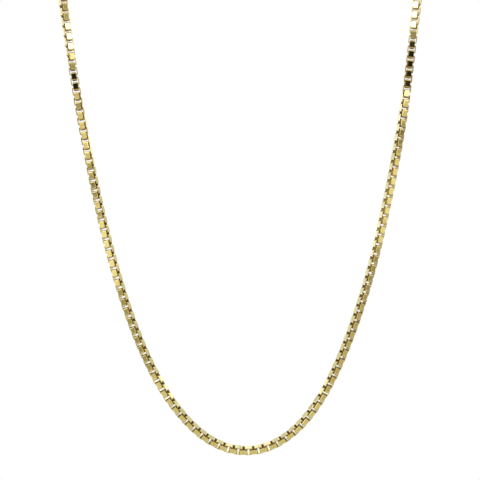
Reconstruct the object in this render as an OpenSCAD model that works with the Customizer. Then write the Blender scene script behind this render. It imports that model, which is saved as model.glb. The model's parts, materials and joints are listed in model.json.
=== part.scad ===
/* [Links] */
// Outer width of a link, across the chain
link_w = 2.26; // [2.1:0.02:2.5]
// Outer length of a link, along the chain
link_l = 2.24; // [2.1:0.01:2.3]
// Thickness of the flat strip that a link is bent from
strip_t = 0.25; // [0.2:0.01:0.3]
// Outer radius of a link's four corners
corner_r = 0.38; // [0.34:0.02:0.6]
// Play between two links where one bears on the next
link_play = 0.36; // [0.24:0.01:0.4]
// Play between a strip's edge and the inside of the link round it
side_play = 0.21; // [0.18:0.01:0.3]

/* [Front] */
// Radius of the hanging curve at its lowest point
bend_r = 17.5; // [15:0.5:22]
// Height of the hanging front above its lowest point
front_rise = 126; // [115:1:136]
// Step from the lowest point to the middle of the nearest edge-on link
bar_step = 0.75; // [0.4:0.05:0.8]
// Length each way from the lowest point that is made link by link
linked_half = 162; // [150:1:164]

/* [Neck] */
// Depth from the hanging front back to the nape
neck_depth = 93; // [80:1:105]
// Drop from the nape to the top of the hanging front
neck_drop = 44; // [36:1:52]
// Sideways pull on the curve behind the neck
neck_side = 58; // [50:1:66]

/* [Clasp] */
// Length of the clasp between its two ends, wire middle to wire middle
clasp_l = 11.6; // [11:0.2:14]
// Clearance on each side of the clasp's wire inside an end link
wire_gap = 0.26; // [0.22:0.01:0.3]
// Clearance between the clasp's wire and the edges of an end link's strip
loop_gap = 0.12; // [0.1:0.01:0.14]
// Diameter of the thick side of the clasp
clasp_body_d = 1.4; // [1.1:0.05:1.7]
// Number of links made one by one at each end of the chain
end_links = 4; // [4:2:6]

/* [Hidden] */
$fn = 32;

gold = [0.86, 0.70, 0.34];
// Sides of the plain form behind the neck, and the length between its rings
tube_sides = 8;
tube_pitch = 2.3 * link_w;
// Steps in which the curve round the neck is measured
curve_steps = 96;
// Share of the way round the neck over which the chain's front side turns to face up
turn_share = 0.65;

// How far the hanging front strays outward from a true catenary.
// The place is a share of the front's half length, 0 at the lowest point and negative on the
// left, and the stray is a share of link_w.
STRAYS = [
    // place, stray
    [-1.10,  0.00],
    [-0.95,  0.13],
    [-0.62,  0.00],
    [-0.40, -0.04],
    [-0.16, -0.09],
    [ 0.04,  0.14],
    [ 0.31, -0.16],
    [ 0.52, -0.05],
    [ 0.76,  0.10],
    [ 0.90,  0.03],
    [ 1.10,  0.00],
];

// How the chain turns about its own line, in degrees, at shares of the front's half length.
TURNS = [
    // place, turn
    [-1.700,   0],
    [-1.100, -34],
    [-0.970, -33],
    [-0.950, -27],
    [-0.880, -25],
    [-0.860, -14],
    [-0.845,  -4],
    [-0.815,  -3],
    [-0.800,   4],
    [-0.720,   5],
    [-0.680,   9],
    [-0.630,  17],
    [-0.500,  17],
    [-0.460,  19],
    [-0.380,  26],
    [-0.200,  27],
    [ 0.200,  28],
    [ 0.300,  30],
    [ 0.380,  30],
    [ 0.420,  27],
    [ 0.500,  25],
    [ 0.560,  27],
    [ 0.670,  28],
    [ 0.720,  24],
    [ 0.780,  15],
    [ 0.810,   3],
    [ 0.860,   2],
    [ 0.900,  -4],
    [ 0.915, -12],
    [ 0.935, -20],
    [ 1.100, -22],
    [ 1.700,   0],
];

function unit(v) = v / norm(v);
function asinh(v) = ln(v + norm([v, 1]));
function ease(s) = let (c = min(1, max(0, s))) c * c * (3 - 2 * c);
function eased(x, table) =
    let (
        k = max([for (j = [0 : len(table) - 2]) x >= table[j][0] ? j : 0]),
        a = table[k],
        b = table[k + 1]
    )
    a[1] + (b[1] - a[1]) * ease((x - a[0]) / (b[0] - a[0]));

// The hanging front is a catenary in the plane y = -neck_depth, lowest at u = 0.
front_half = sqrt(pow(front_rise + bend_r, 2) - pow(bend_r, 2));
function front_point(u) = [
    bend_r * asinh(u / bend_r),
    -neck_depth,
    norm([bend_r, u]) - bend_r - front_rise - neck_drop
];

// The way round the neck is one cubic curve from the front's top to the nape at the origin.
front_top = front_point(front_half);
front_up = unit([bend_r, 0, front_half]);
neck_a = front_top + front_up * neck_drop / front_up.z;
neck_b = [neck_side, 0, 0];
function neck_curve(t) =
    pow(1 - t, 3) * front_top + 3 * pow(1 - t, 2) * t * neck_a + 3 * (1 - t) * t * t * neck_b;
function neck_step(k) = norm(neck_curve(k / curve_steps) - neck_curve((k - 1) / curve_steps));
neck_at = [
    for (k = 0, run = 0; k <= curve_steps; k = k + 1, run = run + neck_step(k))
    [run, k / curve_steps]
];
neck_half = neck_at[curve_steps][0];
half_loop = front_half + neck_half;

// A point on the whole loop, u millimetres along it from the lowest point.
function loop_point(u) =
    abs(u) <= front_half ? front_point(u)
    : let (p = neck_curve(lookup(abs(u) - front_half, neck_at))) [sign(u) * p.x, p.y, p.z];
function loop_dir(u) = unit(loop_point(u + link_w / 2) - loop_point(u - link_w / 2));

// The chain's middle line is the loop with its strays, and dir is the way that it runs.
function middle(u) =
    let (d = loop_dir(u))
    loop_point(u) + eased(u / front_half, STRAYS) * link_w * [d.z, 0, -d.x];
function chain_dir(u) = unit(middle(u + link_w / 2) - middle(u - link_w / 2));

// The side that the chain shows: forward on the front, and upward behind the neck.
function shown_side(u) =
    let (q = 90 * ease((abs(u) - front_half) / (turn_share * neck_half)))
    [0, -cos(q), sin(q)];
function turned_side(u, more) =
    let (
        d = chain_dir(u),
        s = shown_side(u),
        f = unit(s - (s * d) * d),
        q = lookup(u / front_half, TURNS) + more
    )
    f * cos(q) + cross(d, f) * sin(q);

// A frame on the chain. Its columns run along the chain, out of the side that is shown, and
// square to both, and the last one is the place.
function frame_at(u, more = 0) =
    let (d = chain_dir(u), f = turned_side(u, more), g = cross(d, f), c = middle(u))
    [
        [d.x, f.x, g.x, c.x],
        [d.y, f.y, g.y, c.y],
        [d.z, f.z, g.z, c.z],
        [0, 0, 0, 1]
    ];
function column(m, k) = [m[0][k], m[1][k], m[2][k]];

// The strip passes through its neighbours with side_play at each edge, and at rest a link
// could slide along by link_play.
strip_w = link_w - 2 * strip_t - 2 * side_play;
bearing_l = link_l - 2 * strip_t;
pitch = bearing_l - link_play;

// The room left in an end link, past its neighbour's strip, holds the clasp's wire.
end_room = bearing_l - strip_t - link_play;
clasp_wire = end_room - 2 * wire_gap;
wire_from_middle = (strip_t + link_play) / 2;
chain_reach = half_loop - clasp_l / 2 - wire_from_middle;

// The round ends of the clasp clear the corners of the end link's strip by loop_gap.
strip_off = bearing_l / 2 - wire_from_middle;
clear_off = clasp_wire / 2 + loop_gap;
clasp_r = (pow(strip_off, 2) + pow(strip_w / 2, 2) - pow(clear_off, 2)) / (2 * (strip_off - clear_off));

// Links on each side of the one at bar_step, left and then right. Even numbers turn both end
// links alike, the right side's links lie a little closer, and the pitch is fitted so that both
// chain ends come as far as chain_reach.
links_left = 2 * round(chain_reach / (2 * pitch));
side_links = [links_left, links_left + 2];
side_pitch = [(chain_reach + bar_step) / side_links[0], (chain_reach - bar_step) / side_links[1]];
linked = [for (p = side_pitch) floor(linked_half / p)];
function link_at(i) = bar_step + i * side_pitch[i < 0 ? 0 : 1];

module rounded(l, w, r) {
    square([l - 2 * r, w], center = true);
    square([l, w - 2 * r], center = true);
    for (x = [-1, 1], y = [-1, 1])
        translate([x * (l / 2 - r), y * (w / 2 - r)])
            circle(r);
}

// A link is the flat strip bent to a round-cornered ring.
module link() {
    linear_extrude(height = strip_w, center = true)
        difference() {
            rounded(link_l, link_w, corner_r);
            rounded(bearing_l, link_w - 2 * strip_t, corner_r - strip_t);
        }
}

// Every other link is turned a quarter, so that each passes through the next.
module link_number(i) {
    multmatrix(frame_at(link_at(i), i % 2 == 0 ? 90 : 0)) link();
}

module chain_links() {
    color(gold) {
        for (i = [-linked[0] : linked[1]])
            link_number(i);
        for (i = [0 : end_links - 1]) {
            link_number(i - side_links[0]);
            link_number(side_links[1] - i);
        }
    }
}

// The eight corners of the two crossed link outlines, as seen along the chain.
function tube_ring(u) =
    let (m = frame_at(u))
    [
        for (q = [0 : 90 : 270], s = [-1, 1])
        let (
            y = link_w / 2 * cos(q) - s * strip_w / 2 * sin(q),
            z = link_w / 2 * sin(q) + s * strip_w / 2 * cos(q)
        )
        column(m, 3) + y * column(m, 1) + z * column(m, 2)
    ];

module tube(u0, u1) {
    count = ceil((u1 - u0) / tube_pitch);
    rings = [for (k = [0 : count]) tube_ring(u0 + (u1 - u0) * k / count)];
    last = count * tube_sides;
    walls = [
        for (k = [0 : count - 1], j = [0 : tube_sides - 1])
        let (a = k * tube_sides + j, b = k * tube_sides + (j + 1) % tube_sides)
        each [[a, a + tube_sides, b], [b, a + tube_sides, b + tube_sides]]
    ];
    ends = [
        for (j = [1 : tube_sides - 2])
        each [[0, j, j + 1], [last, last + j + 1, last + j]]
    ];
    polyhedron([for (ring = rings) each ring], concat(walls, ends));
}

// The stretch behind the neck is one plain form on each side, in the chain's outer shape.
module chain_back() {
    clear = link_l / 2 + link_play;
    color(gold) {
        tube(link_at(end_links - 1 - side_links[0]) + clear, link_at(-linked[0]) - clear);
        tube(link_at(linked[1]) + clear, link_at(side_links[1] - end_links + 1) - clear);
    }
}

module wire_arc(x, from, angle) {
    translate([x, 0, 0])
        rotate([90, from, 0])
            rotate_extrude(angle = angle)
                translate([clasp_r, 0])
                    circle(d = clasp_wire);
}

module rod(x0, x1, z, d) {
    translate([x0, 0, z])
        rotate([0, 90, 0])
            cylinder(d = d, h = x1 - x0);
}

// One closed piece: a round eye, and a long loop with one thick side.
module clasp() {
    tip = clasp_l / 2;
    eye_x = tip - clasp_r;
    waist_x = eye_x - clasp_r;
    body_x = waist_x - clasp_r;
    hook_x = -tip + clasp_r;
    color(gold)
        translate([0, middle(chain_reach).y, 0]) {
            wire_arc(eye_x, 0, 360);
            rod(waist_x - clasp_wire, waist_x + clasp_wire, 0, 2 * clasp_wire);
            wire_arc(body_x, 90, 180);
            wire_arc(hook_x, -90, 180);
            rod(hook_x, body_x, clasp_r, clasp_wire);
            rod(hook_x, body_x, -clasp_r, clasp_body_d);
            for (x = [hook_x, body_x])
                translate([x, 0, -clasp_r])
                    sphere(d = clasp_body_d);
        }
}

chain_links();
chain_back();
clasp();
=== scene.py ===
"""Looks of a polished gold box chain necklace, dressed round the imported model.

Every link is a flat strip bent to a round-cornered ring and turned a quarter from the next.
The front hangs as a catenary, and the rest goes round the neck to a plain clasp behind.
"""

import json
import logging
import math
import random
from collections.abc import Callable, Iterable
from dataclasses import dataclass, field
from enum import Enum

import bmesh
import bpy
from mathutils import Matrix, Vector

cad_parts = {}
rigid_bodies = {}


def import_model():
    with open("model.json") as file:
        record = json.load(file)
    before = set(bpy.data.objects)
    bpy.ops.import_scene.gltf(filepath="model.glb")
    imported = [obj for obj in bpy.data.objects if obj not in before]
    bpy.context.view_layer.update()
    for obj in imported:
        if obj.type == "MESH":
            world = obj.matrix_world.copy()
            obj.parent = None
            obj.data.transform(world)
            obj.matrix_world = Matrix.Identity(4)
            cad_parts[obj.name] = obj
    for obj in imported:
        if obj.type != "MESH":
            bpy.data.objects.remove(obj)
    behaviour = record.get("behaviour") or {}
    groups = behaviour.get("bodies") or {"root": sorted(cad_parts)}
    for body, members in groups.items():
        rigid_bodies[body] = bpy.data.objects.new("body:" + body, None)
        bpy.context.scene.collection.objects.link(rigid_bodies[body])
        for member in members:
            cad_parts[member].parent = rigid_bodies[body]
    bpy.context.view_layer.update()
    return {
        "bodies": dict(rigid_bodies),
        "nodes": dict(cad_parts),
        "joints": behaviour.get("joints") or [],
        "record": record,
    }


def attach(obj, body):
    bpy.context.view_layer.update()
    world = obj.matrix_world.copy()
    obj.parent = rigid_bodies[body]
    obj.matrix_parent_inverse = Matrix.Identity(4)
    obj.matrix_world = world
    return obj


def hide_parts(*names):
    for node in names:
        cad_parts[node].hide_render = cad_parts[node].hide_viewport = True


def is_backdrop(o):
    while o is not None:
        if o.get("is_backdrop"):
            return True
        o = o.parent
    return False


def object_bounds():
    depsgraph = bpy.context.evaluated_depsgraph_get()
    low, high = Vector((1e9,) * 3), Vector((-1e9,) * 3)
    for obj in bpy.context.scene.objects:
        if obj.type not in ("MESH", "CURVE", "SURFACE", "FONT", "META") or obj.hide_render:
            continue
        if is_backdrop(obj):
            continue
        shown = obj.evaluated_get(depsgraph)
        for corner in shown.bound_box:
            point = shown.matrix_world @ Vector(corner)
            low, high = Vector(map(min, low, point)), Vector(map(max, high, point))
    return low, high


LOG = logging.getLogger("box_chain")
MM = 0.001
WHITE = (1.0, 1.0, 1.0, 1.0)
# how much of a unit normal lies along an axis: at least, to look along it, and at most, to look square to it
ALONG = 0.9
SQUARE = 0.1


class LinkTurn(Enum):
    """How far a link is turned about the chain from the side that the chain shows."""

    BROAD = 0.0
    EDGE_ON = 90.0


class Gold(Enum):
    """Colours that the metal is mixed from, as linear red, green and blue, three of them painted light: a
    paler highlight, a paler sheen and a dark brown shade.
    """

    PALE = (0.97, 0.76, 0.27)
    DEEP = (0.83, 0.62, 0.18)
    GREENISH = (0.80, 0.70, 0.20)
    # painted highlight towards the ends of each link
    RUBBED = (1.0, 0.84, 0.41)
    # painted shade, dark brown, in the hollows of the links and between them
    SOILED = (0.19, 0.068, 0.0)
    # painted sheen, pale gold, on the edge-on links and bright inside them
    WORN = (1.0, 0.88, 0.39)


class Tint(Enum):
    """Tints of the studio's light, as linear red, green and blue."""

    NEUTRAL = (1.0, 1.0, 1.0)
    STRAW = (1.0, 0.97, 0.86)
    BROWN = (1.0, 0.72, 0.35)
    PALE = (0.96, 1.0, 1.05)
    CREAM = (0.92, 1.0, 1.14)
    COOL = (0.89, 1.0, 1.38)
    ICY = (0.88, 1.0, 1.7)


class Side(Enum):
    """Which side of the room a screen stands on, as the camera sees it."""

    LEFT = -1
    RIGHT = 1
    BOTH = 0


class Part(Enum):
    """The parts of a mesh that an operator acts on."""

    FACE = "faces"
    EDGE = "edges"


@dataclass(frozen=True)
class LinkSizes:
    """Sizes of one link in millimetres, as the model's source has them."""

    width: float = 2.26
    length: float = 2.24
    strip_t: float = 0.25
    corner_r: float = 0.38
    play: float = 0.36
    side_play: float = 0.21
    corner_steps: int = 2
    rim: float = 0.08

    @property
    def strip_w(self) -> float:
        """Width of the strip, which passes through its neighbours with side_play."""
        return self.width - 2 * self.strip_t - 2 * self.side_play

    @property
    def bearing_l(self) -> float:
        """Length of the hole inside a link."""
        return self.length - 2 * self.strip_t

    @property
    def pitch(self) -> float:
        """Distance from one link to the next, before it is fitted to the loop."""
        return self.bearing_l - self.play


@dataclass(frozen=True)
class HangingLoop:
    """The middle line of the whole necklace, in millimetres from the nape.

    A place on it is u, the length along it from the lowest point, negative on the left.
    """

    link: LinkSizes = field(default_factory=LinkSizes)
    bend_r: float = 17.5
    front_rise: float = 126.0
    bar_step: float = 0.75
    right_extra: int = 2
    linked_half: float = 162.0
    neck_depth: float = 93.0
    neck_drop: float = 44.0
    neck_side: float = 58.0
    clasp_l: float = 11.6
    end_links: int = 4
    curve_steps: int = 96
    turn_share: float = 0.65
    # place as a share of the front's half length, stray outward as a share of a link's width
    strays: tuple[tuple[float, float], ...] = (
        (-1.10, 0.00), (-0.95, 0.13), (-0.62, 0.00), (-0.40, -0.04), (-0.16, -0.09), (0.04, 0.14),
        (0.31, -0.16), (0.52, -0.05), (0.76, 0.10), (0.90, 0.03), (1.10, 0.00),
    )
    # place as a share of the front's half length, turn about the chain's own line in degrees
    turns: tuple[tuple[float, float], ...] = (
        (-1.70, 0), (-1.10, -34), (-0.97, -33), (-0.95, -27), (-0.88, -25), (-0.86, -14), (-0.845, -4),
        (-0.815, -3), (-0.80, 4), (-0.72, 5), (-0.68, 9), (-0.63, 17), (-0.50, 17), (-0.46, 19),
        (-0.38, 26), (-0.20, 27), (0.20, 28), (0.30, 30), (0.38, 30), (0.42, 27), (0.50, 25),
        (0.56, 27), (0.67, 28), (0.72, 24), (0.78, 15), (0.81, 3), (0.86, 2), (0.90, -4), (0.915, -12),
        (0.935, -20), (1.10, -22), (1.70, 0),
    )

    @property
    def front_half(self) -> float:
        """Length of the hanging front from its lowest point to its top."""
        return math.sqrt((self.front_rise + self.bend_r) ** 2 - self.bend_r ** 2)

    def front_point(self, u: float) -> Vector:
        """A point of the catenary in front.

        Args:
            u: The place along the loop.

        Returns:
            The point, in millimetres.
        """
        height = math.hypot(self.bend_r, u) - self.bend_r - self.front_rise - self.neck_drop
        return Vector((self.bend_r * math.asinh(u / self.bend_r), -self.neck_depth, height))

    def neck_curve(self, t: float) -> Vector:
        """A point of the cubic curve from the front's top, on the right, to the nape.

        Args:
            t: The share of the way, from 0 to 1.

        Returns:
            The point, in millimetres.
        """
        top = self.front_point(self.front_half)
        up = Vector((self.bend_r, 0.0, self.front_half)).normalized()
        over = top + up * (self.neck_drop / up.z)
        behind = Vector((self.neck_side, 0.0, 0.0))
        return (1 - t) ** 3 * top + 3 * (1 - t) ** 2 * t * over + 3 * (1 - t) * t * t * behind

    def neck_table(self) -> list[tuple[float, float]]:
        """Lengths run along the neck curve, each with its share of the way.

        Returns:
            Rows of length and share, from the front's top to the nape.
        """
        rows = [(0.0, 0.0)]
        for step in range(1, self.curve_steps + 1):
            share = step / self.curve_steps
            piece = self.neck_curve(share) - self.neck_curve((step - 1) / self.curve_steps)
            rows.append((rows[-1][0] + piece.length, share))
        return rows


class LoopRule:
    """Works out where each link of a hanging loop lies, and how it is turned."""

    def __init__(self, loop: HangingLoop) -> None:
        """Measures the loop once.

        Args:
            loop: The loop's sizes.
        """
        self.loop = loop
        self.neck_rows = loop.neck_table()
        self.neck_half = self.neck_rows[-1][0]
        self.half = loop.front_half + self.neck_half
        wire_from_middle = (loop.link.strip_t + loop.link.play) / 2
        self.reach = self.half - loop.clasp_l / 2 - wire_from_middle
        left = 2 * round(self.reach / (2 * loop.link.pitch))
        self.side_links = (left, left + loop.right_extra)
        self.side_pitch = (
            (self.reach + loop.bar_step) / self.side_links[0],
            (self.reach - loop.bar_step) / self.side_links[1],
        )
        self.linked = [math.floor(loop.linked_half / pitch) for pitch in self.side_pitch]

    @staticmethod
    def ease(share: float) -> float:
        """A share of the way that starts and ends slowly."""
        held = min(1.0, max(0.0, share))
        return held * held * (3 - 2 * held)

    @classmethod
    def read(cls, x: float, rows: Iterable[tuple[float, float]], soft: bool = False) -> float:
        """Reads a table between its rows.

        Args:
            x: The place to read at.
            rows: Pairs of place and value, in order.
            soft: Whether the value eases in and out of each row.

        Returns:
            The value there, held at both ends.
        """
        table = list(rows)
        if x <= table[0][0]:
            return table[0][1]
        for (x0, v0), (x1, v1) in zip(table, table[1:]):
            if x <= x1:
                share = (x - x0) / (x1 - x0)
                return v0 + (v1 - v0) * (cls.ease(share) if soft else share)
        return table[-1][1]

    def point(self, u: float) -> Vector:
        """A point of the true loop, before its strays.

        Args:
            u: The place along the loop.

        Returns:
            The point, in millimetres.
        """
        if abs(u) <= self.loop.front_half:
            return self.loop.front_point(u)
        p = self.loop.neck_curve(self.read(abs(u) - self.loop.front_half, self.neck_rows))
        return Vector((math.copysign(p.x, u), p.y, p.z))

    def middle(self, u: float) -> Vector:
        """A point of the chain's own middle line, strays and all.

        Args:
            u: The place along the loop.

        Returns:
            The point, in millimetres.
        """
        step = self.loop.link.width / 2
        way = (self.point(u + step) - self.point(u - step)).normalized()
        stray = self.read(u / self.loop.front_half, self.loop.strays, soft=True)
        return self.point(u) + Vector((way.z, 0.0, -way.x)) * stray * self.loop.link.width

    def shown_side(self, u: float) -> Vector:
        """The side that the chain shows: forward in front, and upward behind the neck.

        Args:
            u: The place along the loop.

        Returns:
            The way that the side faces, before the chain's own turn.
        """
        share = (abs(u) - self.loop.front_half) / (self.loop.turn_share * self.neck_half)
        lift = math.pi / 2 * self.ease(share)
        return Vector((0.0, -math.cos(lift), math.sin(lift)))

    def frame_at(self, u: float, turn: LinkTurn) -> Matrix:
        """The frame of a link: along the chain, out of its shown side, and square to both.

        Args:
            u: The link's place along the loop.
            turn: Whether the link shows its broad face or its edge.

        Returns:
            The frame, in millimetres.
        """
        step = self.loop.link.width / 2
        along = (self.middle(u + step) - self.middle(u - step)).normalized()
        shown = self.shown_side(u)
        out = (shown - along * shown.dot(along)).normalized()
        degrees = self.read(u / self.loop.front_half, self.loop.turns) + turn.value
        out = Matrix.Rotation(math.radians(degrees), 3, along) @ out
        frame = Matrix((along, out, along.cross(out))).transposed().to_4x4()
        frame.translation = self.middle(u)
        return frame

    def link_place(self, number: int) -> float:
        """The place of a link along the loop, with the pitch fitted on each side."""
        return self.loop.bar_step + number * self.side_pitch[0 if number < 0 else 1]

    def link_frame(self, number: int) -> Matrix:
        """The frame of a link by its number, 0 next to the lowest point."""
        turn = LinkTurn.EDGE_ON if number % 2 == 0 else LinkTurn.BROAD
        return self.frame_at(self.link_place(number), turn)

    def numbers(self) -> range:
        """The numbers of all links, from the left end to the right one."""
        return range(-self.side_links[0], self.side_links[1] + 1)

    def is_behind(self, number: int) -> bool:
        """Whether a link belongs to the stretch behind the neck."""
        side = 0 if number < 0 else 1
        return self.linked[side] < abs(number) <= self.side_links[side] - self.loop.end_links


class Value:
    """A number socket that ordinary arithmetic can be written with."""

    def __init__(self, bench: "NodeBench", socket: bpy.types.NodeSocket) -> None:
        """Keeps the socket with the bench that its next node goes on.

        Args:
            bench: The node bench.
            socket: An output socket that carries a number.
        """
        self.bench = bench
        self.socket = socket

    def __add__(self, other: "Value | float") -> "Value":
        """This value plus another."""
        return self.bench.maths("ADD", self, other)

    __radd__ = __add__

    def __mul__(self, other: "Value | float") -> "Value":
        """This value times another."""
        return self.bench.maths("MULTIPLY", self, other)

    __rmul__ = __mul__

    def __sub__(self, other: "Value | float") -> "Value":
        """This value less another."""
        return self.bench.maths("SUBTRACT", self, other)

    def __rsub__(self, other: float) -> "Value":
        """A number less this value."""
        return self.bench.maths("SUBTRACT", other, self)


class NodeBench:
    """Adds nodes to one node tree."""

    def __init__(self, tree: bpy.types.NodeTree) -> None:
        """Clears the tree.

        Args:
            tree: The node tree of a material or a world.
        """
        self.tree = tree
        self.tree.nodes.clear()

    def node(self, kind: str, settings: dict[str, object] | None = None,
             inputs: dict[str | int, object] | None = None) -> bpy.types.Node:
        """Adds one node.

        Args:
            kind: The node's type.
            settings: The node's own settings, which are set first.
            inputs: Values, numbers or sockets for its input sockets.

        Returns:
            The new node.
        """
        made = self.tree.nodes.new(kind)
        for name, setting in (settings or {}).items():
            setattr(made, name, setting)
        for name, given in (inputs or {}).items():
            socket = made.inputs[name]
            if isinstance(given, Value):
                self.tree.links.new(given.socket, socket)
            elif isinstance(given, bpy.types.NodeSocket):
                self.tree.links.new(given, socket)
            else:
                socket.default_value = given
        return made

    def maths(self, operation: str, first: Value | float, second: Value | float) -> Value:
        """Adds one Math node.

        Args:
            operation: The operation's name.
            first: The first number.
            second: The second number.

        Returns:
            The result.
        """
        made = self.node("ShaderNodeMath", {"operation": operation}, {0: first, 1: second})
        return Value(self, made.outputs[0])

    def band(self, value: Value, low: float, high: float) -> Value:
        """How far a value lies between two limits, from 0 to 1, with soft ends.

        Args:
            value: The value.
            low: Where the band starts.
            high: Where it ends.

        Returns:
            The share.
        """
        made = self.node(
            "ShaderNodeMapRange", {"interpolation_type": "SMOOTHSTEP"},
            {"Value": value, "From Min": low, "From Max": high},
        )
        return Value(self, made.outputs["Result"])

    def blend(self, share: Value | float, first: object,
              second: object) -> bpy.types.NodeSocket:
        """Mixes two colours.

        Args:
            share: The share of the second one.
            first: The first colour, or a socket.
            second: The second colour, or a socket.

        Returns:
            The mixed colour's socket.
        """
        made = self.node("ShaderNodeMix", {"data_type": "RGBA"}, {0: share, 6: first, 7: second})
        return made.outputs[2]


@dataclass(frozen=True)
class GoldFinish:
    """Polished yellow gold, with small random unevenness, a painted highlight towards each link's ends,
    painted sheen and painted shade.

    Scales are repeats to the metre, and grain_height is in millimetres.
    """

    name: str
    roughness: float = 0.05
    roughness_spread: float = 0.07
    cloud_scale: float = 90.0
    grain_scale: float = 2600.0
    grain_depth: float = 0.06
    grain_height: float = 0.01
    noise_detail: float = 3.0
    tone_share: float = 0.65
    hue_share: float = 0.65
    # the paler the link, the more evenly it is polished
    polish_share: float = 0.5
    # where along a link, from its middle to its end, the painted highlight starts and is full
    highlight_span: tuple[float, float] = (0.3, 0.7)
    highlight_share: float = 0.5
    edge_roughness: float = 0.25
    # roughness and shine of the faces under painted shade, which are not metal
    painted_shade_roughness: float = 0.4
    painted_shade_shine: float = 0.04

    def material(self) -> bpy.types.Material:
        """Makes the material.

        Returns:
            The material.
        """
        made = bpy.data.materials.new(self.name)
        made.use_nodes = True
        bench = NodeBench(made.node_tree)
        place = bench.node("ShaderNodeTexCoord").outputs["Object"]
        cloud = self.noise(bench, place, self.cloud_scale)
        grain = self.noise(bench, place, self.grain_scale)
        tone, hue, soil, worn, edge, along = (
            self.mark(bench, name) for name in ("tone", "hue", "soil", "worn", "edge", "along")
        )
        end_highlight = bench.band(bench.maths("ABSOLUTE", along, 0.0), *self.highlight_span)
        share = tone * self.tone_share + cloud * (1 - self.tone_share)
        colour = bench.blend(share, (*Gold.DEEP.value, 1.0), (*Gold.PALE.value, 1.0))
        colour = bench.blend(hue * self.hue_share, colour, (*Gold.GREENISH.value, 1.0))
        # painted highlight: paler gold towards both ends of each link
        colour = bench.blend(end_highlight * self.highlight_share, colour, (*Gold.RUBBED.value, 1.0))
        # painted sheen: paler gold on the edge-on links, brightest inside them near the lowest point
        colour = bench.blend(worn, colour, (*Gold.WORN.value, 1.0))
        # painted shade: dark brown, not metal, in the links' holes, on cut edges and end walls, and more of
        # it along some stretches of the chain
        colour = bench.blend(soil, colour, (*Gold.SOILED.value, 1.0))
        rough = self.roughness + self.roughness_spread * grain * (1 - tone * self.polish_share)
        rough = rough + edge * self.edge_roughness + soil * self.painted_shade_roughness
        bump = bench.node("ShaderNodeBump", {}, {
            "Strength": self.grain_depth, "Distance": self.grain_height * MM, "Height": grain,
        })
        shader = bench.node("ShaderNodeBsdfPrincipled", {}, {
            "Metallic": 1 - soil, "Base Color": colour, "Roughness": rough,
            "Specular IOR Level": self.painted_shade_shine, "Normal": bump.outputs["Normal"],
        })
        bench.node("ShaderNodeOutputMaterial", {}, {"Surface": shader.outputs["BSDF"]})
        return made

    @staticmethod
    def mark(bench: NodeBench, name: str) -> Value:
        """Reads a number that is marked on the piece's faces.

        Args:
            bench: The node bench.
            name: The attribute's name.

        Returns:
            The number, or 0 where the piece has no such attribute.
        """
        settings = {"attribute_type": "GEOMETRY", "attribute_name": name}
        return Value(bench, bench.node("ShaderNodeAttribute", settings).outputs["Fac"])

    def noise(self, bench: NodeBench, place: bpy.types.NodeSocket, scale: float) -> Value:
        """Soft noise on the object's own coordinates.

        Args:
            bench: The node bench.
            place: The coordinates.
            scale: Repeats to the metre.

        Returns:
            The noise, from 0 to 1.
        """
        inputs = {"Vector": place, "Scale": scale, "Detail": self.noise_detail}
        return Value(bench, bench.node("ShaderNodeTexNoise", {}, inputs).outputs["Fac"])


@dataclass(frozen=True)
class FloorPaint:
    """One even coat of matt pale paint."""

    name: str
    colour: tuple[float, float, float] = (0.84, 0.84, 0.83)
    roughness: float = 0.8
    shine: float = 0.1

    def material(self) -> bpy.types.Material:
        """Makes the material.

        Returns:
            The material.
        """
        made = bpy.data.materials.new(self.name)
        made.use_nodes = True
        bench = NodeBench(made.node_tree)
        shader = bench.node("ShaderNodeBsdfPrincipled", {}, {
            "Base Color": (*self.colour, 1.0), "Roughness": self.roughness,
            "Specular IOR Level": self.shine,
        })
        bench.node("ShaderNodeOutputMaterial", {}, {"Surface": shader.outputs["BSDF"]})
        return made


class Bench:
    """Blender's operators, used as by hand on one object at a time."""

    @staticmethod
    def clear() -> None:
        """Deselects everything."""
        if bpy.context.object and bpy.context.object.mode != "OBJECT":
            bpy.ops.object.mode_set(mode="OBJECT")
        bpy.ops.object.select_all(action="DESELECT")

    @classmethod
    def take(cls, piece: bpy.types.Object) -> None:
        """Selects one object alone and makes it the active one.

        Args:
            piece: The object.
        """
        cls.clear()
        piece.select_set(True)
        bpy.context.view_layer.objects.active = piece

    @staticmethod
    def pick(piece: bpy.types.Object, kind: Part, wanted: Callable[..., bool]) -> None:
        """Selects the faces or edges that pass a test, in edit mode.

        Args:
            piece: The object in edit mode.
            kind: Whether faces or edges are selected.
            wanted: The test of one face or edge.
        """
        bpy.ops.mesh.select_all(action="DESELECT")
        bpy.ops.mesh.select_mode(type=kind.name)
        mesh = bmesh.from_edit_mesh(piece.data)
        for part in getattr(mesh, kind.value):
            part.select_set(wanted(part))
        bmesh.update_edit_mesh(piece.data)

    @classmethod
    def join(cls, parts: list[bpy.types.Object], name: str) -> bpy.types.Object:
        """Joins objects into one.

        Args:
            parts: The objects.
            name: The joined object's name.

        Returns:
            The joined object.
        """
        cls.take(parts[0])
        for part in parts:
            part.select_set(True)
        bpy.ops.object.join()
        joined = bpy.context.object
        joined.name = name
        joined.data.name = name
        return joined


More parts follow.
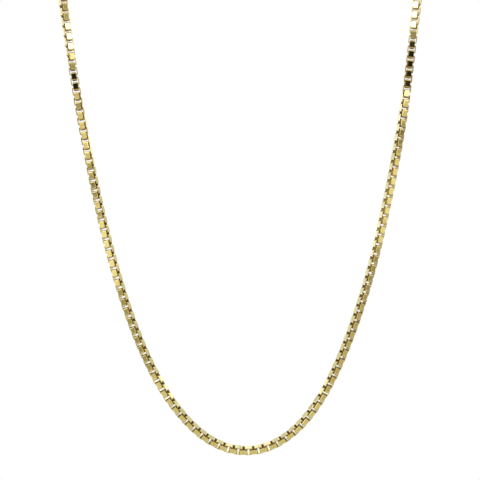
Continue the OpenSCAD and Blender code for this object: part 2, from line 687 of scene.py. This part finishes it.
@dataclass
class BoxChain:
    """The linked lengths of the chain, in front and behind the neck."""

    rule: LoopRule
    finish: GoldFinish
    flatness: int = 95
    crisp_step: float = 0.2
    jitter_deg: float = 0.6
    seed: int = 11
    # how much painted shade the faces get on broad links, and on edge-on ones
    painted_shade_edge: tuple[float, float] = (0.1, 0.35)
    # more painted shade on the cut edges of edge-on links, as far as their insides are shaded
    edge_shade_boost: float = 0.6
    painted_shade_top: tuple[float, float] = (0.75, 0.3)
    painted_shade_foot: tuple[float, float] = (0.9, 0.3)
    painted_shade_inside: tuple[float, float] = (0.9, 0.4)
    painted_shade_wall: tuple[float, float] = (0.7, 0.4)
    # how much painted sheen the edge-on links get, outside and inside, which makes them paler
    worn: tuple[float, float] = (0.25, 1.0)
    # link numbers between which the insides of the edge-on links go from painted sheen to painted shade
    sheen_to_shade: tuple[int, int] = (14, 40)
    # link number, and how much painted shade there is about it
    painted_shade_along: tuple[tuple[float, float], ...] = (
        (-90, 0.9), (-82, 1.9), (-64, 1.9), (-54, 1.3), (-40, 1.1), (-24, 1.15), (30, 1.15),
        (46, 1.0), (54, 0.5), (66, 0.5), (74, 1.0), (90, 1.0), (96, 0.8),
    )
    # link number, and how much of that is left on the cut edges there
    edges_along: tuple[tuple[float, float], ...] = ((-94, 0.2), (-88, 1.0), (90, 1.0), (94, 0.2))

    @property
    def link(self) -> LinkSizes:
        """The sizes of one link, which are the loop's."""
        return self.rule.loop.link

    def master_link(self) -> bpy.types.Object:
        """Models one link in millimetres, round the origin, with its length along X.

        Returns:
            The link.
        """
        sizes = self.link
        Bench.clear()
        bpy.ops.mesh.primitive_cube_add(size=1.0)
        link = bpy.context.object
        link.name = "master_link"
        link.scale = (sizes.length, sizes.width, sizes.strip_w)
        bpy.ops.object.transform_apply(location=False, rotation=False, scale=True)
        bpy.ops.object.mode_set(mode="EDIT")
        self.round_corners(link)
        self.open_middle(link)
        self.ease_rims(link)
        bpy.ops.object.mode_set(mode="OBJECT")
        bpy.ops.object.shade_smooth()
        flats = link.modifiers.new("flats", "WEIGHTED_NORMAL")
        flats.weight = self.flatness
        flats.keep_sharp = True
        bpy.ops.object.modifier_apply(modifier=flats.name)
        return link

    def round_corners(self, link: bpy.types.Object) -> None:
        """Rounds the four corners of the strip's bends.

        Args:
            link: The block that the link is made of, in edit mode.
        """
        def runs_across(edge: bmesh.types.BMEdge) -> bool:
            """Whether an edge runs across the strip."""
            way = edge.verts[0].co - edge.verts[1].co
            return abs(way.z) > ALONG * way.length

        Bench.pick(link, Part.EDGE, runs_across)
        bpy.ops.mesh.bevel(offset=self.link.corner_r, segments=self.link.corner_steps, profile=0.5)

    def open_middle(self, link: bpy.types.Object) -> None:
        """Opens the ring, which leaves a wall as thick as the strip.

        Args:
            link: The rounded block, in edit mode.
        """
        Bench.pick(link, Part.FACE, self.is_cut_edge)
        bpy.ops.mesh.inset(thickness=self.link.strip_t, use_individual=True)
        bpy.ops.mesh.bridge_edge_loops()
        bpy.ops.mesh.select_all(action="SELECT")
        bpy.ops.mesh.normals_make_consistent(inside=False)

    def ease_rims(self, link: bpy.types.Object) -> None:
        """Cuts a narrow bright rim along the outer edges of the strip, and keeps it crisp.

        Args:
            link: The open ring, in edit mode.
        """
        def is_outer(face: bmesh.types.BMFace) -> bool:
            """Whether a face is on the outside of the ring."""
            return abs(face.normal.z) < SQUARE and face.normal.dot(face.calc_center_median()) > 0

        def is_outer_rim(edge: bmesh.types.BMEdge) -> bool:
            """Whether an edge lies between the outside and a cut edge."""
            sides = edge.link_faces
            return any(map(is_outer, sides)) and any(map(self.is_cut_edge, sides))

        def is_crisp(edge: bmesh.types.BMEdge) -> bool:
            """Whether the surface turns sharply at an edge of the strip."""
            first, second = edge.link_faces
            return abs(abs(first.normal.z) - abs(second.normal.z)) > self.crisp_step

        Bench.pick(link, Part.EDGE, is_outer_rim)
        bpy.ops.mesh.bevel(offset=self.link.rim, segments=1, offset_type="WIDTH")
        Bench.pick(link, Part.EDGE, is_crisp)
        bpy.ops.mesh.mark_sharp()

    def copy_link(self, master: bpy.types.Object, number: int,
                  chance: random.Random) -> bpy.types.Object:
        """Copies the link to its place, with the small tilt of a loose link.

        Args:
            master: The modelled link.
            number: The link's number along the loop.
            chance: The source of the tilts and tones.

        Returns:
            The copy, with its place in its mesh.
        """
        copy = master.copy()
        copy.data = master.data.copy()
        bpy.context.scene.collection.objects.link(copy)
        tilt = Matrix.Identity(4)
        for axis in "XYZ":
            degrees = chance.uniform(-self.jitter_deg, self.jitter_deg)
            tilt = tilt @ Matrix.Rotation(math.radians(degrees), 4, axis)
        copy.data.transform(Matrix.Scale(MM, 4) @ self.rule.link_frame(number) @ tilt)
        faces = master.data.polygons
        self.mark(copy.data, "tone", [chance.random()] * len(faces))
        self.mark(copy.data, "hue", [chance.random()] * len(faces))
        # painted shade and painted sheen, worked out for each face
        self.mark(copy.data, "soil", [self.soil(face, number) for face in faces])
        self.mark(copy.data, "worn", [self.painted_sheen_share(face, number) for face in faces])
        self.mark(copy.data, "edge", [float(self.is_cut_edge(face)) for face in faces])
        half = self.link.length / 2
        self.mark(copy.data, "along", [spot.co.x / half for spot in master.data.vertices], "POINT")
        return copy

    @staticmethod
    def is_cut_edge(face: bpy.types.MeshPolygon | bmesh.types.BMFace) -> bool:
        """Whether a face of the master link is one of the strip's cut edges."""
        return abs(face.normal.z) > ALONG

    @staticmethod
    def is_inside(face: bpy.types.MeshPolygon) -> bool:
        """Whether a face of the master link looks into its hole."""
        return abs(face.normal.z) < SQUARE and face.normal.dot(face.center) < 0

    def inner_shade(self, number: int) -> float:
        """How far the inside of an edge-on link has gone from painted sheen to painted shade."""
        first, last = self.sheen_to_shade
        return self.rule.ease((number - first) / (last - first))

    def soil(self, face: bpy.types.MeshPolygon, number: int) -> float:
        """How dark a face of the master link is painted, as painted shade in its hole, on its cut edges and
        end walls, and where its neighbours cover it.

        Args:
            face: The face, before it is copied to its place.
            number: The link's number along the loop.

        Returns:
            The share, from 0 to 1.
        """
        edge_on = 1 - number % 2
        inner_shade = self.inner_shade(number) if edge_on else 1.0
        share = 0.0
        if self.is_cut_edge(face):
            share = self.painted_shade_edge[edge_on] * (1 + self.edge_shade_boost * inner_shade * edge_on)
            share *= self.rule.read(number, self.edges_along)
        elif self.is_inside(face):
            is_wall = abs(face.normal.y) > ALONG
            share = (self.painted_shade_wall if is_wall else self.painted_shade_inside)[edge_on] * inner_shade
        # painted shade on the end walls, one amount where they look up and another where they look down
        elif abs(face.normal.x) > ALONG:
            looks_up = (self.rule.link_frame(number).to_3x3() @ face.normal).z > 0
            share = (self.painted_shade_top if looks_up else self.painted_shade_foot)[edge_on]
        return min(1.0, share * self.rule.read(number, self.painted_shade_along))

    def painted_sheen_share(self, face: bpy.types.MeshPolygon, number: int) -> float:
        """How much painted sheen a face of the master link gets, which makes it paler.

        Args:
            face: The face, before it is copied to its place.
            number: The link's number along the loop.

        Returns:
            The share, from 0 to 1.
        """
        if number % 2 or self.is_cut_edge(face):
            return 0.0
        return self.worn[1] * (1 - self.inner_shade(number)) if self.is_inside(face) else self.worn[0]

    @staticmethod
    def mark(mesh: bpy.types.Mesh, name: str, values: list[float], where: str = "FACE") -> None:
        """Writes one number on each face or point.

        Args:
            mesh: The mesh.
            name: The attribute's name.
            values: The numbers, in the order of the faces or points.
            where: FACE or POINT.
        """
        made = mesh.attributes.new(name, "FLOAT", where)
        made.data.foreach_set("value", values)

    def build(self) -> list[bpy.types.Object]:
        """Makes the linked lengths.

        Returns:
            The front with both chain ends, and the stretch behind the neck.
        """
        master = self.master_link()
        chance = random.Random(self.seed)
        front, back = [], []
        for number in self.rule.numbers():
            copy = self.copy_link(master, number, chance)
            (back if self.rule.is_behind(number) else front).append(copy)
        bpy.data.objects.remove(master)
        LOG.info("chain: %d links in front and at the ends, %d behind", len(front), len(back))
        return [
            self.dress(Bench.join(front, "front_links"), "chain_links"),
            self.dress(Bench.join(back, "back_links"), "chain_back"),
        ]

    def dress(self, piece: bpy.types.Object, node: str) -> bpy.types.Object:
        """Gives a length of chain its metal and its place in the frame.

        Args:
            piece: The joined links.
            node: The solid that they stand for.

        Returns:
            The piece.
        """
        piece.data.materials.clear()
        piece.data.materials.append(self.finish.material())
        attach(piece, "root")
        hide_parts(node)
        return piece


@dataclass
class Clasp:
    """The plain closed piece at the nape."""

    finish: GoldFinish

    def build(self, node: bpy.types.Object) -> bpy.types.Object:
        """Dresses the solid as it is.

        Args:
            node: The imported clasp.

        Returns:
            The same object.
        """
        node.data.materials.clear()
        node.data.materials.append(self.finish.material())
        return node


@dataclass(frozen=True)
class Screen:
    """A soft-edged part of the room round the necklace, as the polished metal mirrors it.

    Its limits are lowest and highest angles in degrees. Azimuth is measured round from the
    camera's side, elevation up from level, and away is the angle from the way back to the camera.
    """

    level: float
    tint: Tint = Tint.NEUTRAL
    azimuth: tuple[float, float] | None = None
    elevation: tuple[float, float] | None = None
    away: tuple[float, float] | None = None
    softness: float = 4.0
    side: Side = Side.BOTH

    def colour(self) -> tuple[float, float, float, float]:
        """The screen's light."""
        red, green, blue = self.tint.value
        return (red * self.level, green * self.level, blue * self.level, 1.0)

    def share(self, bench: NodeBench, azimuth: Value, elevation: Value,
              away: Value) -> Value | float:
        """How much of a direction's light is the screen's.

        Args:
            bench: The node bench of the world.
            azimuth: The direction's azimuth in degrees, positive to the camera's right.
            elevation: The direction's elevation in degrees.
            away: The direction's angle from the way back to the camera, in degrees.

        Returns:
            The share, from 0 to 1.
        """
        if self.side is Side.BOTH:
            turn = bench.maths("ABSOLUTE", azimuth, 0.0)
        else:
            turn = azimuth * self.side.value
        share: Value | float = 1.0
        for angle, limits in ((turn, self.azimuth), (elevation, self.elevation), (away, self.away)):
            if limits:
                share = self.window(bench, angle, limits) * share
        return share

    def window(self, bench: NodeBench, angle: Value, limits: tuple[float, float]) -> Value:
        """How far an angle lies inside two limits.

        Args:
            bench: The node bench of the world.
            angle: The angle in degrees.
            limits: The lowest and the highest angle.

        Returns:
            The share, from 0 to 1, with soft ends.
        """
        low, high = limits
        rising = bench.band(angle, low - self.softness, low + self.softness)
        falling = bench.band(angle, high - self.softness, high + self.softness)
        return rising * (1 - falling)


@dataclass(frozen=True)
class SoftLight:
    """A large square area light, in millimetres and watts."""

    name: str
    place: tuple[float, float, float]
    size: float
    watts: float

    def hang(self, aim: Vector) -> None:
        """Hangs the light so that it faces a point.

        Args:
            aim: The point, in millimetres.
        """
        data = bpy.data.lights.new(self.name, "AREA")
        data.size = self.size * MM
        data.energy = self.watts
        lamp = bpy.data.objects.new(self.name, data)
        bpy.context.scene.collection.objects.link(lamp)
        turn = (aim - Vector(self.place)).to_track_quat("-Z", "Y").to_matrix().to_4x4()
        lamp.matrix_world = Matrix.Translation(Vector(self.place) * MM) @ turn


@dataclass
class Studio:
    """Camera, light, background and floor, in millimetres."""

    rule: LoopRule
    mm_per_pixel: float = 0.275
    image_pixels: int = 480
    # where the chain's lowest point lies in the picture, and how far the picture leans
    vertex_px: tuple[float, float] = (245.73, 449.57)
    lean_deg: float = 0.636
    lens: float = 100.0
    sensor: float = 36.0
    clip_start: float = 10.0
    lights: tuple[SoftLight, ...] = (
        SoftLight("key", (-260.0, -330.0, 260.0), size=240.0, watts=0.25),
        SoftLight("fill", (330.0, -230.0, 240.0), size=260.0, watts=0.2),
    )
    aim_height: float = -100.0
    floor_gap: float = 80.0
    floor_half: float = 150.0
    floor_middle_y: float = -70.0
    walls: tuple[float, float, float] = (0.80, 0.80, 0.78)
    # each screen lies over the ones before it
    screens: tuple[Screen, ...] = (
        # the room below, from the floor up to eye level
        Screen(0.78, elevation=(-100, -27), softness=2.0),
        Screen(0.34, azimuth=(-14, 100), elevation=(-100, -33), side=Side.RIGHT),
        Screen(0.38, elevation=(-26, -13), softness=1.5),
        Screen(0.52, azimuth=(0, 100), elevation=(-33, -18), softness=1.0, side=Side.RIGHT),
        Screen(1.08, Tint.PALE, elevation=(-12.5, -5.0), softness=1.0),
        Screen(0.96, Tint.PALE, azimuth=(0, 100), elevation=(-12.5, -5.0), softness=1.0,
               side=Side.RIGHT),
        Screen(0.35, azimuth=(0, 100), elevation=(-14, -10.2), softness=1.0, side=Side.RIGHT),
        Screen(0.2, azimuth=(0, 100), elevation=(-4.8, -1.8), softness=0.6, side=Side.LEFT),
        Screen(0.2, azimuth=(0, 100), elevation=(-4.2, -0.2), softness=0.6, side=Side.RIGHT),
        Screen(0.35, Tint.BROWN, azimuth=(-28, 28), elevation=(-100, -3.5)),
        Screen(0.35, Tint.BROWN, elevation=(-100, -69), softness=2.0),
        # the ceiling
        Screen(0.95, elevation=(26, 100)),
        # the room behind the chain, which its edge-on links mirror
        Screen(0.15, Tint.BROWN, away=(71, 190), softness=3.0),
        Screen(0.72, Tint.CREAM, azimuth=(90, 168), elevation=(-12, 28), away=(109, 190)),
        Screen(0.88, Tint.COOL, azimuth=(90, 170), elevation=(-12, 19), away=(109, 190),
               side=Side.LEFT),
        Screen(1.22, Tint.ICY, azimuth=(90, 170), elevation=(-12, 13.8), away=(109, 190),
               softness=0.8, side=Side.LEFT),
        Screen(1.3, Tint.COOL, azimuth=(90, 168), elevation=(20.5, 24.2), away=(109, 150),
               softness=1.0, side=Side.LEFT),
        Screen(1.45, Tint.COOL, azimuth=(90, 168), elevation=(20.5, 28), away=(109, 150),
               softness=1.0, side=Side.RIGHT),
        Screen(0.78, Tint.COOL, elevation=(28, 54), away=(109, 128)),
        Screen(1.3, Tint.COOL, elevation=(53, 100), away=(109, 128)),
        Screen(1.0, Tint.STRAW, away=(152, 190), softness=5.0),
        # bright and dark panels in front, which the broad links near the top mirror
        Screen(3.2, Tint.COOL, azimuth=(39.5, 74), elevation=(12, 22), softness=1.0,
               side=Side.RIGHT),
        Screen(3.2, Tint.COOL, azimuth=(24, 74), elevation=(12, 22), softness=2.0, side=Side.LEFT),
        Screen(0.42, azimuth=(47, 66), elevation=(12, 21), softness=1.0, side=Side.RIGHT),
        Screen(1.9, Tint.ICY, azimuth=(19, 28), elevation=(2.5, 6.5), softness=1.5, side=Side.RIGHT),
        Screen(0.36, azimuth=(5, 17), elevation=(4.7, 14), softness=0.6, side=Side.LEFT),
        Screen(0.4, azimuth=(15, 24), elevation=(8, 13), softness=1.0, side=Side.RIGHT),
        Screen(0.015, azimuth=(-5, 15.5), elevation=(-3.5, 12), softness=1.2, side=Side.RIGHT),
    )
    plaster_scale: float = 7.0
    plaster_detail: float = 2.0
    plaster_depth: float = 0.08
    # the even light on matt surfaces, and the share by which it is stronger from below
    room_light: float = 1.0
    from_below: float = 0.5

    def place_camera(self) -> None:
        """Sets the camera where the picture was taken from, straight in front."""
        loop = self.rule.loop
        lean = math.radians(self.lean_deg)
        middle = self.image_pixels / 2
        dx, dy = middle - self.vertex_px[0], middle - self.vertex_px[1]
        across = (dx * math.cos(lean) - dy * math.sin(lean)) * self.mm_per_pixel
        above = -(dx * math.sin(lean) + dy * math.cos(lean)) * self.mm_per_pixel
        distance = self.image_pixels * self.mm_per_pixel * self.lens / self.sensor
        low = -loop.front_rise - loop.neck_drop
        data = bpy.data.cameras.new("camera")
        data.lens = self.lens
        data.sensor_width = self.sensor
        data.clip_start = self.clip_start * MM
        eye = bpy.data.objects.new("camera", data)
        bpy.context.scene.collection.objects.link(eye)
        place = Vector((across, -loop.neck_depth - distance, low + above)) * MM
        turn = Matrix.Rotation(math.radians(90), 4, "X") @ Matrix.Rotation(-lean, 4, "Z")
        eye.matrix_world = Matrix.Translation(place) @ turn
        bpy.context.scene.camera = eye
        LOG.info("camera: %.0f mm from the front", distance)

    def paint_room(self) -> None:
        """Makes the room: white behind the chain, with screens that only the metal mirrors."""
        made = bpy.data.worlds.new("studio")
        bpy.context.scene.world = made
        made.use_nodes = True
        bench = NodeBench(made.node_tree)
        way = bench.node("ShaderNodeTexCoord").outputs["Generated"]
        parts = bench.node("ShaderNodeSeparateXYZ", {}, {"Vector": way}).outputs
        right, back, up = (Value(bench, parts[name]) for name in "XYZ")
        degree = 180.0 / math.pi
        azimuth = bench.maths("ARCTAN2", right, back * -1.0) * degree
        elevation = bench.maths("ARCSINE", up, 0.0) * degree
        away = bench.maths("ARCCOSINE", back * -1.0, 0.0) * degree
        colour: object = (*self.walls, 1.0)
        for screen in self.screens:
            share = screen.share(bench, azimuth, elevation, away)
            colour = bench.blend(share, colour, screen.colour())
        plaster = Value(bench, bench.node("ShaderNodeTexNoise", {}, {
            "Vector": way, "Scale": self.plaster_scale, "Detail": self.plaster_detail,
        }).outputs["Fac"])
        # the noise lies round a half
        unevenness = 1 + (plaster - 0.5) * (2 * self.plaster_depth)
        room = bench.node("ShaderNodeBackground", {}, {"Color": colour, "Strength": unevenness})
        plain = bench.node("ShaderNodeBackground", {}, {"Color": WHITE, "Strength": 1.0})
        even = bench.node("ShaderNodeBackground", {}, {
            "Color": WHITE, "Strength": self.room_light - up * (self.room_light * self.from_below),
        })
        ray = bench.node("ShaderNodeLightPath").outputs
        mix = bench.node("ShaderNodeMixShader", {}, {
            0: ray["Is Diffuse Ray"], 1: room.outputs[0], 2: even.outputs[0],
        })
        mix = bench.node("ShaderNodeMixShader", {}, {
            0: ray["Is Camera Ray"], 1: mix.outputs[0], 2: plain.outputs[0],
        })
        bench.node("ShaderNodeOutputWorld", {}, {"Surface": mix.outputs[0]})
        bpy.context.scene.view_settings.view_transform = "Standard"

    def hang_lights(self) -> None:
        """Hangs the soft lights, which face the front of the chain."""
        aim = Vector((0.0, -self.rule.loop.neck_depth, self.aim_height))
        for light in self.lights:
            light.hang(aim)

    def lay_floor(self) -> None:
        """Lays the pale floor below the chain, short of what the camera sees."""
        Bench.clear()
        place = (0.0, self.floor_middle_y * MM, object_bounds()[0][2] - self.floor_gap * MM)
        bpy.ops.mesh.primitive_plane_add(size=2 * self.floor_half * MM, location=place)
        floor = bpy.context.object
        floor.name = "floor"
        floor.data.materials.append(FloorPaint("floor_paint").material())
        floor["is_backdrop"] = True

    def build(self) -> None:
        """Sets up the whole studio."""
        self.place_camera()
        self.paint_room()
        self.hang_lights()
        self.lay_floor()


def main() -> None:
    """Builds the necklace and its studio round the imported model."""
    logging.basicConfig(level=logging.INFO, format="%(name)s %(message)s")
    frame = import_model()
    rule = LoopRule(HangingLoop())
    chain = BoxChain(rule, GoldFinish("chain_gold")).build()
    clasp = Clasp(GoldFinish("clasp_gold")).build(frame["nodes"]["clasp"])
    for piece in (*chain, clasp):
        LOG.info("%s: %d faces", piece.name, len(piece.data.polygons))
    Studio(rule).build()


if __name__ == "__main__":
    main()
